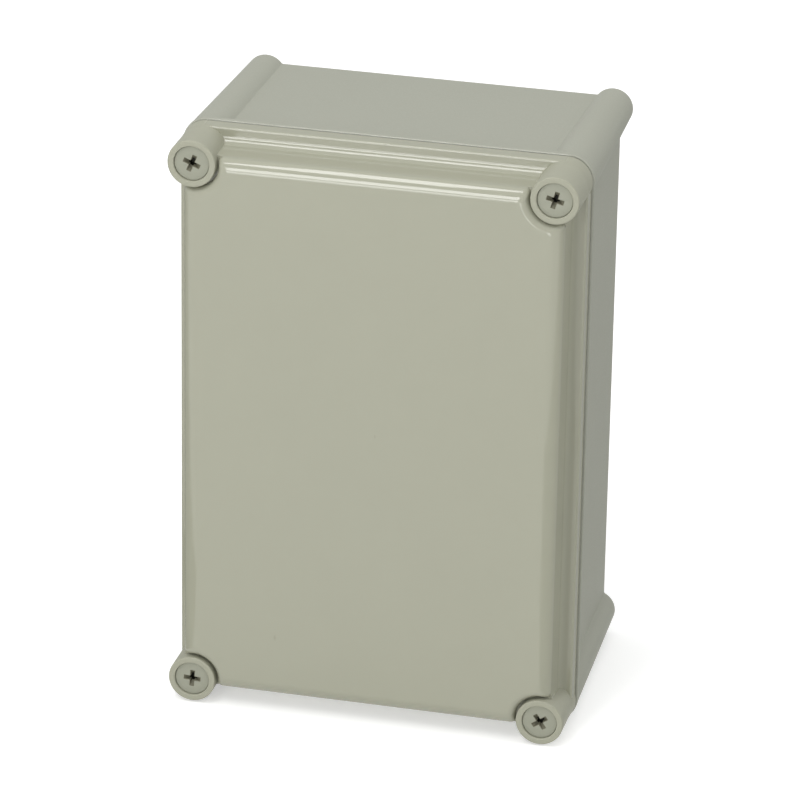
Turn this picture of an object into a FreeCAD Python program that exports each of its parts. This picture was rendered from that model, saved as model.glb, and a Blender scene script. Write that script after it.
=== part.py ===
import FreeCAD, Part
import math
import os

from FreeCAD import Vector

# Wall-mounted plastic enclosure: a deep base with four corner columns, a cover held by four
# captive screws, and a cord seal between them. Millimetres, +Z up, cover towards -Y, back
# towards +Y. The origin is the middle of the footprint on which the enclosure stands.

# Overall
WIDTH = 190.0
HEIGHT = 280.0
BASE_DEPTH = 100.0
COVER_DEPTH = 28.0
CORNER_RADIUS = 12.0            # round corner of the rim, and inset of each screw from two edges
SIDE_RIM_INSET = 1.0            # how far the corners stand out past the rim's straight sides
END_RIM_INSET = 0.3             # and past its straight ends
RIM_TURN_RADIUS = 10.0          # the straight rim turns inside each round corner

# Base shell
BASE_WALL = 3.0
BASE_DRAFT = 1.5                # degrees, on every outside face of the base
CORE_DRAFT = 0.6                # degrees, on the bosses inside the shells
SIDE_WALL_INSET = 5.7           # rim edge to side wall, at the parting plane
END_WALL_INSET = 3.9            # rim edge to top or bottom wall, at the parting plane
COLUMN_RADIUS = 11.9            # corner column at the parting plane
COLUMN_CREASE_RADIUS = 1.2
LIP_THICKNESS = 3.0
LIP_EDGE_RADIUS = 0.6
LIP_ROOT = 2.0
BACK_EDGE_RADIUS = 1.2
BACK_RECESS_DEPTH = 1.0
BACK_BORDER = 9.0
INSIDE_BEND_RADIUS = 4.0
INSIDE_EDGE_RADIUS = 1.5

# Seal line: a tongue on the base enters a groove in the cover and presses on the cord
SEAL_OFFSET = 6.5               # seal centre line, outside the line through the screws
SEAL_CORNER_RADIUS = 10.5       # seal centre line, where it passes inside each screw
SEAL_BEND_RADIUS = 8.0
TONGUE_WIDTH = 2.0
TONGUE_HEIGHT = 2.8
GROOVE_WIDTH = 3.2
GASKET_THICKNESS = 2.8
BASE_SEAL_LEDGE = 1.7           # base material inside the tongue at each corner
COVER_SEAL_LEDGE = 2.1          # cover material inside the groove at each corner

# Cover
COVER_WALL = 2.8
PARTING_GAP = 0.8
RIM_HEIGHT = 7.5                # parting plane to the shoulder round the raised panel
RIM_DRAFT = 2.0
RIM_EDGE_RADIUS = 1.0
RIM_BACK_RADIUS = 0.4
SIDE_FLANK_INSET = 7.7          # rim edge to the panel's side flank, at the front
END_FLANK_INSET = 8.6           # rim edge to the panel's top or bottom flank, at the front
FLANK_DRAFT = 2.5
FOOT_RADIUS = 4.0               # hollow curve between flank and shoulder
CROWN_RADIUS = 8.0              # gentle first curve of the panel's edge
CROWN_ANGLE = 45.0
EDGE_RADIUS = 3.5               # tight second curve of the panel's edge

# Screw towers on the cover
TOWER_RADIUS = 11.2
TOWER_EDGE_RADIUS = 0.6
TOWER_FLARE_LENGTH = 3.5        # where the tower widens to the rim's round corner
SCALLOP_GAP = 0.8               # open moat between tower and panel
SCALLOP_DEPTH = 5.2
SCALLOP_EDGE_RADIUS = 3.9       # rounded edge of the panel along the moat
HEAD_RECESS_CLEARANCE = 0.3
TOWER_WEB = 3.4
TOWER_HOLLOW_RADIUS = 7.2
TOWER_FOOT_WALL = 1.3

# Captive screws
HEAD_RADIUS = 7.9
HEAD_THICKNESS = 3.2
HEAD_SINK = 0.4                 # head face below the tower's face
HEAD_EDGE = 0.4
NECK_RADIUS = 3.9
THREAD_RADIUS = 4.75            # larger than the hole in the web, which keeps the screw in
THREAD_ENGAGEMENT = 12.0
THREAD_TIP = 2.0
SCREW_TRAVEL = 13.0             # thread to web, so that the screw can leave the base
NECK_CLEARANCE = 0.3
THREAD_CLEARANCE = 0.05
BORE_END_CLEARANCE = 2.0
CROSS_LENGTH = 8.6
CROSS_FOOT_LENGTH = 3.6
CROSS_WIDTH = 1.9
CROSS_DEPTH = 4.4
SCREW_TURNS = {                 # degrees each cross recess has turned, seen from the front
    "top_left": -25.0,
    "top_right": -20.0,
    "bottom_left": -8.0,
    "bottom_right": 30.0,
}

# Wall fixing through the columns, and bosses for a mounting plate
FIXING_HOLE_RADIUS = 2.75
FIXING_PASSAGE_RADIUS = 4.5
FIXING_SEAT = 5.0
BOSS_RADIUS = 4.0
BOSS_HEIGHT = 8.0
BOSS_HOLE_RADIUS = 1.75
BOSS_HOLE_DEPTH = 7.0
BOSS_SPACING_X = 130.0
BOSS_SPACING_Z = 200.0

# Places worked out from the sizes above
BACK_Y = (BASE_DEPTH + COVER_DEPTH) / 2
PARTING_Y = BACK_Y - BASE_DEPTH
FRONT_Y = PARTING_Y - COVER_DEPTH
RIM_BACK_Y = PARTING_Y - PARTING_GAP
SHOULDER_Y = PARTING_Y - RIM_HEIGHT
TONGUE_Y = PARTING_Y - TONGUE_HEIGHT
GROOVE_Y = TONGUE_Y - GASKET_THICKNESS
FLOOR_Y = BACK_Y - BASE_WALL
HEAD_Y = FRONT_Y + HEAD_SINK
SEAT_Y = HEAD_Y + HEAD_THICKNESS
WEB_BACK_Y = SEAT_Y + TOWER_WEB
THREAD_Y = WEB_BACK_Y + SCREW_TRAVEL
TIP_Y = PARTING_Y + THREAD_ENGAGEMENT
MID_Z = HEIGHT / 2
SCREW_X = WIDTH / 2 - CORNER_RADIUS
SCREW_Z = HEIGHT / 2 - CORNER_RADIUS
CORNERS = {
    "top_left": (-SCREW_X, MID_Z + SCREW_Z),
    "top_right": (SCREW_X, MID_Z + SCREW_Z),
    "bottom_left": (-SCREW_X, MID_Z - SCREW_Z),
    "bottom_right": (SCREW_X, MID_Z - SCREW_Z),
}
FORWARD = Vector(0, -1, 0)
BACKWARD = Vector(0, 1, 0)
OVERCUT = 1.0                   # how far a cutting body runs past the face that it opens


def rise(length, degrees):
    """How far a face with this draft moves sideways over a length."""
    return length * math.tan(math.radians(degrees))


def rod(x, z, y_start, y_end, radius, end_radius=None):
    """A round rod or cone along Y, between two depths."""
    end_radius = radius if end_radius is None else end_radius
    length = y_end - y_start
    place = Vector(x, y_start, z)
    if abs(end_radius - radius) < 1e-9:
        return Part.makeCylinder(radius, length, place, BACKWARD)
    return Part.makeCone(radius, end_radius, length, place, BACKWARD)


def rectangle(half_x, half_z, y):
    """A rectangle about the middle of the enclosure, at one depth."""
    corners = [(-half_x, -half_z), (half_x, -half_z), (half_x, half_z), (-half_x, half_z)]
    points = [Vector(x, y, MID_Z + z) for x, z in corners]
    return Part.makePolygon(points + points[:1])


def tapered_block(front, back, y_front, y_back):
    """A block whose half width and half height change evenly from front to back."""
    sections = [rectangle(*front, y_front), rectangle(*back, y_back)]
    return Part.makeLoft(sections, True, True)


def straight_block(half_x, half_z, y_front, y_back):
    """A plain block about the middle of the enclosure."""
    return tapered_block((half_x, half_z), (half_x, half_z), y_front, y_back)


def corner_rods(y_start, y_end, radius, end_radius=None):
    """One rod on each of the four screw axes."""
    rods = [rod(x, z, y_start, y_end, radius, end_radius) for x, z in CORNERS.values()]
    return rods[0].fuse(rods[1:])


def edges_along_y(shape, length):
    """The edges that run mostly from front to back and are at least this long."""
    found = []
    for edge in shape.Edges:
        run = edge.Vertexes[-1].Point - edge.Vertexes[0].Point
        if abs(run.y) > length and abs(run.y) > 0.9 * run.Length:
            found.append(edge)
    return found


def edges_at_depth(shape, y):
    """The edges that lie wholly at one depth."""
    box_of = [(edge, edge.BoundBox) for edge in shape.Edges]
    return [edge for edge, box in box_of if abs(box.YMin - y) < 1e-4 and abs(box.YMax - y) < 1e-4]


def softened(shape, radius, *depths):
    """The shape with its edges rounded at these depths."""
    edges = [edge for y in depths for edge in edges_at_depth(shape, y)]
    return shape.makeFillet(radius, edges)


def unit(a, b):
    """The direction of a pair of numbers, as a pair of length one."""
    length = math.hypot(a, b)
    return (a / length, b / length)


def step(start, direction, length):
    """A point reached from a start by going a length in a direction."""
    return (start[0] + direction[0] * length, start[1] + direction[1] * length)


def arc_round(centre, first, last, radius):
    """Three points of an arc, from one direction to another the short way."""
    middle = unit(first[0] + last[0], first[1] + last[1])
    return [step(centre, way, radius) for way in (first, middle, last)]


def corner_arcs(out_x, out_z, hollow, bend):
    """How an outline passes inside one screw, measured from the screw's axis: a bend off the side
    wall, a hollow round the screw, and a bend on to the end wall."""
    reach = hollow + bend
    side = (out_x - bend, -math.sqrt(reach ** 2 - (out_x - bend) ** 2))
    end = (-math.sqrt(reach ** 2 - (out_z - bend) ** 2), out_z - bend)
    to_side = unit(*side)
    to_end = unit(*end)
    return [
        arc_round(side, (1, 0), (-to_side[0], -to_side[1]), bend),
        arc_round((0, 0), to_side, to_end, hollow),
        arc_round(end, (-to_end[0], -to_end[1]), (0, 1), bend),
    ]


def hollowed_outline(half_x, half_z, hollow, bend, y):
    """A rectangle about the middle of the enclosure that passes inside each screw."""
    arcs = []
    for side_x, side_z in [(1, 1), (-1, 1), (-1, -1), (1, -1)]:
        corner = []
        for arc in corner_arcs(half_x - SCREW_X, half_z - SCREW_Z, hollow, bend):
            spots = [(side_x * (SCREW_X + u), MID_Z + side_z * (SCREW_Z + w)) for u, w in arc]
            corner.append([Vector(x, y, z) for x, z in spots])
        if side_x * side_z < 0:
            corner = [arc[::-1] for arc in corner[::-1]]
        arcs.extend(corner)
    edges = []
    for arc, following in zip(arcs, arcs[1:] + arcs[:1]):
        edges.append(Part.Arc(*arc).toShape())
        if (arc[-1] - following[0]).Length > 1e-6:
            edges.append(Part.makeLine(arc[-1], following[0]))
    return Part.Wire(edges)


def hollowed_block(front, back, y_front, y_back):
    """A block between two hollowed outlines, each given as half width, half height, hollow radius
    and bend radius."""
    sections = [hollowed_outline(*front, y_front), hollowed_outline(*back, y_back)]
    return Part.makeLoft(sections, True, True)


def seal_block(shift, y_front, y_back):
    """The area inside the seal line, moved outwards by a shift."""
    outline = (SCREW_X + SEAL_OFFSET + shift, SCREW_Z + SEAL_OFFSET + shift,
               SEAL_CORNER_RADIUS - shift, SEAL_BEND_RADIUS + shift)
    return hollowed_block(outline, outline, y_front, y_back)


def seal_band(width, y_front, y_back):
    """A band of one width that follows the seal line."""
    return seal_block(width / 2, y_front, y_back).cut(seal_block(-width / 2, y_front, y_back))


def rim_plate(y_front, y_back, draft=0.0):
    """The straight sides and ends of the rim between two depths, drafted in towards the front."""
    lean = rise(y_back - y_front, draft)
    return Part.makeLoft([rim_outline(0.0, y_back), rim_outline(lean, y_front)], True, True)


def rim_outline(inset, y):
    """The rim's straight sides and ends, which turn inside the round corners, moved in by an
    inset."""
    radius = RIM_TURN_RADIUS - inset
    centre_x = WIDTH / 2 - SIDE_RIM_INSET - RIM_TURN_RADIUS
    centre_z = HEIGHT / 2 - END_RIM_INSET - RIM_TURN_RADIUS
    edges = []
    starts = []
    ends = []
    for turn, (side_x, side_z) in enumerate([(1, 1), (-1, 1), (-1, -1), (1, -1)]):
        centre = Vector(side_x * centre_x, y, MID_Z + side_z * centre_z)
        arc_points = []
        for half in range(3):
            angle = math.radians(90 * turn + 45 * half)
            arc_points.append(centre + Vector(radius * math.cos(angle), 0, radius * math.sin(angle)))
        edges.append(Part.Arc(*arc_points).toShape())
        starts.append(arc_points[0])
        ends.append(arc_points[-1])
    sides = [Part.makeLine(ends[i], starts[(i + 1) % 4]) for i in range(4)]
    ordered = [edge for pair in zip(edges, sides) for edge in pair]
    return Part.Wire(ordered)


def roll_arcs(wall):
    """The panel's rounded edge as two arcs of (place, depth) points: a gentle one from the flat
    face, then a tight one that ends at the drafted wall."""
    first = math.radians(CROWN_ANGLE)
    last = math.radians(90 - FLANK_DRAFT)
    run = CROWN_RADIUS * math.sin(first) + EDGE_RADIUS * (math.sin(last) - math.sin(first))
    start = wall - run
    shift = CROWN_RADIUS - EDGE_RADIUS

    def crown(angle):
        return (start + CROWN_RADIUS * math.sin(angle), FRONT_Y + CROWN_RADIUS * (1 - math.cos(angle)))

    def edge(angle):
        return (start + shift * math.sin(first) + EDGE_RADIUS * math.sin(angle),
                FRONT_Y + CROWN_RADIUS - shift * math.cos(first) - EDGE_RADIUS * math.cos(angle))

    gentle = [crown(0.0), crown(first / 2), crown(first)]
    tight = [edge(first), edge((first + last) / 2), edge(last)]
    return [gentle, tight]


def flank_segments(half_width):
    """One side of the raised panel as segments of (place, depth) points: rounded edge, drafted
    flank and the hollow foot that runs out on the shoulder."""
    segments = roll_arcs(half_width)
    top = segments[-1][-1]
    lean = math.radians(FLANK_DRAFT)
    foot_y = SHOULDER_Y - FOOT_RADIUS * (1 - math.sin(lean))
    foot = (top[0] + rise(foot_y - top[1], FLANK_DRAFT), foot_y)
    centre = (foot[0] + FOOT_RADIUS * math.cos(lean), SHOULDER_Y - FOOT_RADIUS)
    middle = (math.pi / 2 + lean) / 2
    hollow = (centre[0] - FOOT_RADIUS * math.cos(middle), centre[1] + FOOT_RADIUS * math.sin(middle))
    toe = (centre[0], SHOULDER_Y)
    buried = (toe[0], SHOULDER_Y + OVERCUT)
    return segments + [[top, foot], [foot, hollow, toe], [toe, buried]]


def draw(points):
    """A straight edge through two points, or an arc through three."""
    if len(points) == 2:
        return Part.makeLine(*points)
    return Part.Arc(*points).toShape()


def flank_bar(half_width, place, along, length):
    """A bar with the raised panel's section: place turns a distance from the middle and a depth
    into a point, and the bar runs for a length in the direction along."""
    right = flank_segments(half_width)
    outer = [[place(u, y) for u, y in segment] for segment in right]
    inner = [[place(-u, y) for u, y in reversed(segment)] for segment in reversed(right)]
    closing = [outer[-1][-1], inner[0][0]]
    face_line = [inner[-1][-1], outer[0][0]]
    edges = [draw(points) for points in outer + [closing] + inner + [face_line]]
    return Part.Face(Part.Wire(edges)).extrude(along * length)


def turned(points_list, x, z):
    """A solid of revolution about a screw axis, from segments of (radius, depth) points."""
    edges = [draw([Vector(x + r, y, z) for r, y in points]) for points in points_list]
    face = Part.Face(Part.Wire(edges))
    return face.revolve(Vector(x, 0, z), BACKWARD, 360)


def scallop_cutter(x, z):
    """What is taken out of the panel round a tower: a round pocket with a rounded mouth."""
    wall = TOWER_RADIUS + SCALLOP_GAP
    floor_y = FRONT_Y + SCALLOP_DEPTH
    air_y = FRONT_Y - OVERCUT
    mouth = wall + SCALLOP_EDGE_RADIUS
    round_y = FRONT_Y + SCALLOP_EDGE_RADIUS
    middle = SCALLOP_EDGE_RADIUS * math.sqrt(0.5)
    profile = [
        [(0, air_y), (mouth, air_y)],
        [(mouth, air_y), (mouth, FRONT_Y)],
        [(mouth, FRONT_Y), (mouth - middle, round_y - middle), (wall, round_y)],
        [(wall, round_y), (wall, floor_y)],
        [(wall, floor_y), (0, floor_y)],
        [(0, floor_y), (0, air_y)],
    ]
    return turned(profile, x, z)


def base_outside():
    """The base's outer form: drafted walls, tapered corner columns and the lip at its mouth."""
    lean = rise(BASE_DEPTH, BASE_DRAFT)
    half_x = WIDTH / 2 - SIDE_WALL_INSET
    half_z = HEIGHT / 2 - END_WALL_INSET
    walls = tapered_block((half_x, half_z), (half_x - lean, half_z - lean), PARTING_Y, BACK_Y)
    columns = corner_rods(PARTING_Y, BACK_Y, COLUMN_RADIUS, COLUMN_RADIUS - lean)
    body = walls.fuse(columns).removeSplitter()
    body = body.makeFillet(COLUMN_CREASE_RADIUS, edges_along_y(body, 0.9 * BASE_DEPTH))
    body = softened(body, BACK_EDGE_RADIUS, BACK_Y)
    lip_back = PARTING_Y + LIP_THICKNESS
    lip = softened(rim_plate(PARTING_Y, lip_back), LIP_EDGE_RADIUS, PARTING_Y, lip_back)
    ends = [softened(rod(x, z, PARTING_Y, lip_back, CORNER_RADIUS), LIP_EDGE_RADIUS, PARTING_Y, lip_back)
            for x, z in CORNERS.values()]
    root = tapered_block((half_x + LIP_ROOT, half_z + LIP_ROOT), (half_x, half_z),
                         lip_back - LIP_EDGE_RADIUS, lip_back + LIP_ROOT)
    return body.fuse([lip, root] + ends)


def base_cavity():
    """The space inside the base. It opens towards the cover and leaves the walls even, and it
    passes inside each column on a boss that is drafted the other way."""
    lean = rise(FLOOR_Y - PARTING_Y, BASE_DRAFT)
    boss_lean = rise(FLOOR_Y - PARTING_Y, CORE_DRAFT)
    half_x = WIDTH / 2 - SIDE_WALL_INSET - BASE_WALL
    half_z = HEIGHT / 2 - END_WALL_INSET - BASE_WALL
    boss = SEAL_CORNER_RADIUS + TONGUE_WIDTH / 2 + BASE_SEAL_LEDGE
    mouth = (half_x, half_z, boss, INSIDE_BEND_RADIUS)
    floor = (half_x - lean, half_z - lean, boss + boss_lean, INSIDE_BEND_RADIUS)
    space = hollowed_block(mouth, floor, PARTING_Y, FLOOR_Y)
    return softened(space, INSIDE_EDGE_RADIUS, FLOOR_Y)


def back_recess():
    """The shallow field on the back, inside a flat border and clear of the column ends."""
    lean = rise(BASE_DEPTH, BASE_DRAFT)
    half_x = WIDTH / 2 - SIDE_WALL_INSET - lean - BACK_BORDER
    half_z = HEIGHT / 2 - END_WALL_INSET - lean - BACK_BORDER
    depth = BACK_Y - BACK_RECESS_DEPTH
    field = straight_block(half_x, half_z, depth, BACK_Y + OVERCUT)
    return field.cut(corner_rods(depth, BACK_Y + OVERCUT, COLUMN_RADIUS + BACK_BORDER / 2))


def column_bores():
    """What is bored out of each column: the cover screw's thread, the passage for a wall screw,
    and the hole in its seat."""
    thread_end = TIP_Y + BORE_END_CLEARANCE
    seat = BACK_Y - FIXING_SEAT
    thread = corner_rods(PARTING_Y - OVERCUT, thread_end, THREAD_RADIUS + THREAD_CLEARANCE)
    passage = corner_rods(thread_end, seat, FIXING_PASSAGE_RADIUS)
    hole = corner_rods(seat, BACK_Y + OVERCUT, FIXING_HOLE_RADIUS)
    return [thread, passage, hole]


def plate_bosses():
    """Bosses on the floor that take the screws of a mounting plate."""
    bosses = []
    holes = []
    top = FLOOR_Y - BOSS_HEIGHT
    for side_x in (-1, 1):
        for side_z in (-1, 1):
            x = side_x * BOSS_SPACING_X / 2
            z = MID_Z + side_z * BOSS_SPACING_Z / 2
            foot_radius = BOSS_RADIUS + rise(BOSS_HEIGHT, BASE_DRAFT)
            bosses.append(rod(x, z, top, FLOOR_Y + BASE_WALL / 2, BOSS_RADIUS, foot_radius))
            holes.append(rod(x, z, top - OVERCUT, top + BOSS_HOLE_DEPTH, BOSS_HOLE_RADIUS))
    return bosses, holes


def make_base():
    """The base as one moulding."""
    bosses, holes = plate_bosses()
    shell = base_outside().cut([base_cavity(), back_recess()])
    tongue = seal_band(TONGUE_WIDTH, TONGUE_Y, PARTING_Y + OVERCUT)
    shell = shell.fuse(bosses + [tongue])
    return shell.cut(column_bores() + holes).removeSplitter()


def cover_outside():
    """The cover's outer form: rim, raised panel with scalloped corners, and four towers."""
    rim = softened(rim_plate(SHOULDER_Y, RIM_BACK_Y, RIM_DRAFT), RIM_EDGE_RADIUS, SHOULDER_Y)
    rim = softened(rim, RIM_BACK_RADIUS, RIM_BACK_Y)
    half_x = WIDTH / 2 - SIDE_FLANK_INSET
    half_z = HEIGHT / 2 - END_FLANK_INSET
    upright = flank_bar(half_x, lambda u, y: Vector(u, y, 0), Vector(0, 0, 1), HEIGHT)
    across = flank_bar(half_z, lambda u, y: Vector(-WIDTH / 2, y, MID_Z + u), Vector(1, 0, 0), WIDTH)
    panel = upright.common(across)
    panel = panel.cut([scallop_cutter(x, z) for x, z in CORNERS.values()])
    return rim.fuse([panel] + [tower(x, z) for x, z in CORNERS.values()])


def tower(x, z):
    """One round screw tower: a straight post that flares to the rim's round corner at the
    shoulder, and a foot that seats on the base's column."""
    corner = CORNER_RADIUS - rise(RIM_BACK_Y - SHOULDER_Y, RIM_DRAFT)
    growth = corner - TOWER_RADIUS
    flare_y = SHOULDER_Y - TOWER_FLARE_LENGTH
    bow = (growth ** 2 + TOWER_FLARE_LENGTH ** 2) / (2 * growth)
    half_flare = TOWER_FLARE_LENGTH / 2
    middle = (TOWER_RADIUS + bow - math.sqrt(bow ** 2 - half_flare ** 2), flare_y + half_flare)
    profile = [
        [(0, FRONT_Y), (TOWER_RADIUS, FRONT_Y)],
        [(TOWER_RADIUS, FRONT_Y), (TOWER_RADIUS, flare_y)],
        [(TOWER_RADIUS, flare_y), middle, (corner, SHOULDER_Y)],
        [(corner, SHOULDER_Y), (CORNER_RADIUS, RIM_BACK_Y)],
        [(CORNER_RADIUS, RIM_BACK_Y), (0, RIM_BACK_Y)],
        [(0, RIM_BACK_Y), (0, FRONT_Y)],
    ]
    post = softened(turned(profile, x, z), TOWER_EDGE_RADIUS, FRONT_Y)
    post = softened(post, RIM_BACK_RADIUS, RIM_BACK_Y)
    foot = rod(x, z, SHOULDER_Y, PARTING_Y, TOWER_HOLLOW_RADIUS + TOWER_FOOT_WALL)
    return post.fuse(foot)


def cover_cavity():
    """The space inside the cover, which passes inside each tower on a drafted boss."""
    ceiling = FRONT_Y + COVER_WALL
    lean = rise(RIM_BACK_Y - ceiling, BASE_DRAFT)
    boss_lean = rise(RIM_BACK_Y - ceiling, CORE_DRAFT)
    half_x = WIDTH / 2 - SIDE_FLANK_INSET - COVER_WALL
    half_z = HEIGHT / 2 - END_FLANK_INSET - COVER_WALL
    boss = SEAL_CORNER_RADIUS + GROOVE_WIDTH / 2 + COVER_SEAL_LEDGE
    top = (half_x, half_z, boss + boss_lean, INSIDE_BEND_RADIUS)
    mouth = (half_x + lean, half_z + lean, boss, INSIDE_BEND_RADIUS)
    space = hollowed_block(top, mouth, ceiling, RIM_BACK_Y)
    return softened(space, INSIDE_EDGE_RADIUS, ceiling)


def tower_bores():
    """What is bored out of each tower: head recess, screw hole and the hollow behind the web."""
    recess = corner_rods(FRONT_Y - OVERCUT, SEAT_Y, HEAD_RADIUS + HEAD_RECESS_CLEARANCE)
    hole = corner_rods(SEAT_Y, WEB_BACK_Y, NECK_RADIUS + NECK_CLEARANCE)
    hollow = corner_rods(WEB_BACK_Y, PARTING_Y, TOWER_HOLLOW_RADIUS)
    return [recess, hole, hollow]


def make_cover():
    """The cover as one moulding."""
    groove = seal_band(GROOVE_WIDTH, GROOVE_Y, RIM_BACK_Y)
    return cover_outside().cut([cover_cavity(), groove] + tower_bores()).removeSplitter()


def make_gasket():
    """The cord seal that lies in the cover's groove and meets the base's tongue."""
    return seal_band(GROOVE_WIDTH, GROOVE_Y, TONGUE_Y)


def cross_recess(x, z, turn):
    """The driver recess: two tapering slots that cross, turned about the screw's axis."""
    slots = []
    for angle in (turn, turn + 90):
        half_front = CROSS_LENGTH / 2
        half_foot = CROSS_FOOT_LENGTH / 2
        slope = (half_front - half_foot) / CROSS_DEPTH
        half_air = half_front + slope * OVERCUT
        outline = [
            Vector(-half_air, HEAD_Y - OVERCUT, -CROSS_WIDTH / 2),
            Vector(half_air, HEAD_Y - OVERCUT, -CROSS_WIDTH / 2),
            Vector(half_foot, HEAD_Y + CROSS_DEPTH, -CROSS_WIDTH / 2),
            Vector(-half_foot, HEAD_Y + CROSS_DEPTH, -CROSS_WIDTH / 2),
        ]
        slot = Part.Face(Part.makePolygon(outline + outline[:1])).extrude(Vector(0, 0, CROSS_WIDTH))
        slot.rotate(Vector(0, 0, 0), FORWARD, angle)
        slot.translate(Vector(x, 0, z))
        slots.append(slot)
    return slots[0].fuse(slots[1])


def make_screw(x, z, turn):
    """One captive screw: flat head, thin neck and threaded end."""
    head_edge = HEAD_RADIUS - HEAD_EDGE
    tip_radius = THREAD_RADIUS - THREAD_TIP / 2
    outline = [
        (0, HEAD_Y), (head_edge, HEAD_Y), (HEAD_RADIUS, HEAD_Y + HEAD_EDGE), (HEAD_RADIUS, SEAT_Y),
        (NECK_RADIUS, SEAT_Y), (NECK_RADIUS, THREAD_Y), (THREAD_RADIUS, THREAD_Y),
        (THREAD_RADIUS, TIP_Y - THREAD_TIP), (tip_radius, TIP_Y), (0, TIP_Y),
    ]
    segments = [list(pair) for pair in zip(outline, outline[1:] + outline[:1])]
    return turned(segments, x, z).cut(cross_recess(x, z, turn))


def write(node, shape):
    """Write one piece under its own name."""
    shape.exportStep("parts/" + node + ".step")
    print(node, "solids", len(shape.Solids), "valid", shape.isValid(), "cm3", round(shape.Volume / 1000, 2))


os.makedirs("parts", exist_ok=True)
write("enclosure_base", make_base())
write("enclosure_cover", make_cover())
write("cover_gasket", make_gasket())
for corner, (corner_x, corner_z) in CORNERS.items():
    write("cover_screw_" + corner, make_screw(corner_x, corner_z, SCREW_TURNS[corner]))
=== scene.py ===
import math

import bmesh
import bpy
import numpy as np
from mathutils import Matrix, Vector
from mathutils.geometry import tessellate_polygon


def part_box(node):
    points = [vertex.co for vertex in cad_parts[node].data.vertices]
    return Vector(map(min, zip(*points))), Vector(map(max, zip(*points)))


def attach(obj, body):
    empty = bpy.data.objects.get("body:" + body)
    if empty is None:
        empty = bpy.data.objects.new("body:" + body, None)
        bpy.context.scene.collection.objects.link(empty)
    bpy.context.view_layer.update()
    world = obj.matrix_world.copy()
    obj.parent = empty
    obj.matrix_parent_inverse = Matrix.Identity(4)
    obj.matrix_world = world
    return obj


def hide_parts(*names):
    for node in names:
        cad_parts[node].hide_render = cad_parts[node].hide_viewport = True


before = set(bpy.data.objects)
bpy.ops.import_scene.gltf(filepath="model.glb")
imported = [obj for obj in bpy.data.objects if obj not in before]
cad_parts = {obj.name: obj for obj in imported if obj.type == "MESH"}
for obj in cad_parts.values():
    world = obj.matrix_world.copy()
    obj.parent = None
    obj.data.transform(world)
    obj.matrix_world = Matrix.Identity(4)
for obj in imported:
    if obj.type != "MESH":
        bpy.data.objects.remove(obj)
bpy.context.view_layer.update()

bl_info = {
    "name": "Plastic Project Box",
    "version": (1, 0, 0),
    "blender": (4, 5, 0),
    "location": "3D View > Sidebar > Project Box",
    "description": "Builds a plastic wall enclosure with its four cover screws and its studio",
    "category": "Object",
}

# Overall size in millimetres, taken to a tenth from the frame's base and cover
MM = 0.001
COVER_LOW, BASE_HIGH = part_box("enclosure_cover")[0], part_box("enclosure_base")[1]
WIDTH, HEIGHT = 2 * round(BASE_HIGH[0] / MM, 1), round(BASE_HIGH[2] / MM, 1)
CORNER_INSET = 12.0  # from the edges of that size to each screw's axis
SCREW_X, SCREW_Z, MID_Z = WIDTH / 2 - CORNER_INSET, HEIGHT / 2 - CORNER_INSET, HEIGHT / 2
CORNERS = [(1, 1), (-1, 1), (-1, -1), (1, -1)]

# Depths, from the front of the towers to the back of the base
FRONT_Y, BACK_Y = round(COVER_LOW[1] / MM, 1), round(BASE_HIGH[1] / MM, 1)
PARTING_Y = FRONT_Y + 28.0  # front of the base's lip
RIM_BACK_Y = PARTING_Y - 0.8  # back of the cover's rim, with the open parting behind it
SHOULDER_Y = PARTING_Y - 7.5  # ledge round the raised panel
MOAT_Y = FRONT_Y + 5.2  # floor of the moat round each tower
FLOOR_Y = BACK_Y - 3.0  # inside of the base's floor
HEAD_Y = FRONT_Y + 1.1  # face of a screw
SEAT_Y = FRONT_Y + 3.6  # back of its head, on the web in the tower
WEB_BACK_Y = SEAT_Y + 3.4
THREAD_Y = WEB_BACK_Y + 13.0  # start of the thread, past the plain neck
TIP_Y = PARTING_Y + 12.0
TONGUE_Y = PARTING_Y - 2.8  # top of the base's tongue
GROOVE_Y = TONGUE_Y - 2.8  # floor of the cover's groove, with the cord between them

# Outlines, as distances outwards from the lines through the screws' axes
LIP = CORNER_INSET
CORNER_RIM, SIDE_RIM, END_RIM = 11.5, 11.0, 11.5
SIDE_FLANK, END_FLANK = 4.3, 3.4  # sides of the raised panel, at its face
SIDE_WALL, END_WALL = 6.3, 8.1  # walls of the base, at the parting
SEAL_OFFSET, SEAL_CORNER, SEAL_BEND = 6.5, 10.5, 8.0
GROOVE_HALF, TONGUE_HALF = 1.6, 1.0
INSIDE_BEND, INSIDE_EDGE = 4.0, 1.5
CORNER_LEAN = 0.4  # share of the walls' draft that the hollows round the screws take

# Cover
RIM_DRAFT, RIM_EDGE, RIM_BACK_EDGE = 2.0, 1.0, 0.4
CROWN, EDGE, CROWN_ANGLE = 8.0, 3.5, math.radians(45)  # gentle arc and tight arc of the panel's edge
FOOT, FLANK_DRAFT = 4.0, math.radians(2.5)
EDGE_DROP = CROWN - (CROWN - EDGE) * math.cos(CROWN_ANGLE)
ROLL_DEPTH = EDGE_DROP - EDGE * math.sin(FLANK_DRAFT)
COVER_WALL, COVER_CORNER = 2.8, 14.2
TOWER_RADIUS, TOWER_EDGE, TOWER_FLARE, MOAT_WALL = 11.1, 0.6, 3.5, 12.0
WELL_RADIUS, WELL_EDGE, WELL_EDGE_DROP = 8.2, 0.6, 0.5  # the hole that takes a screw's head
WEB_HOLE, TOWER_HOLLOW, TOWER_FOOT = 4.2, 7.2, 8.5

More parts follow.
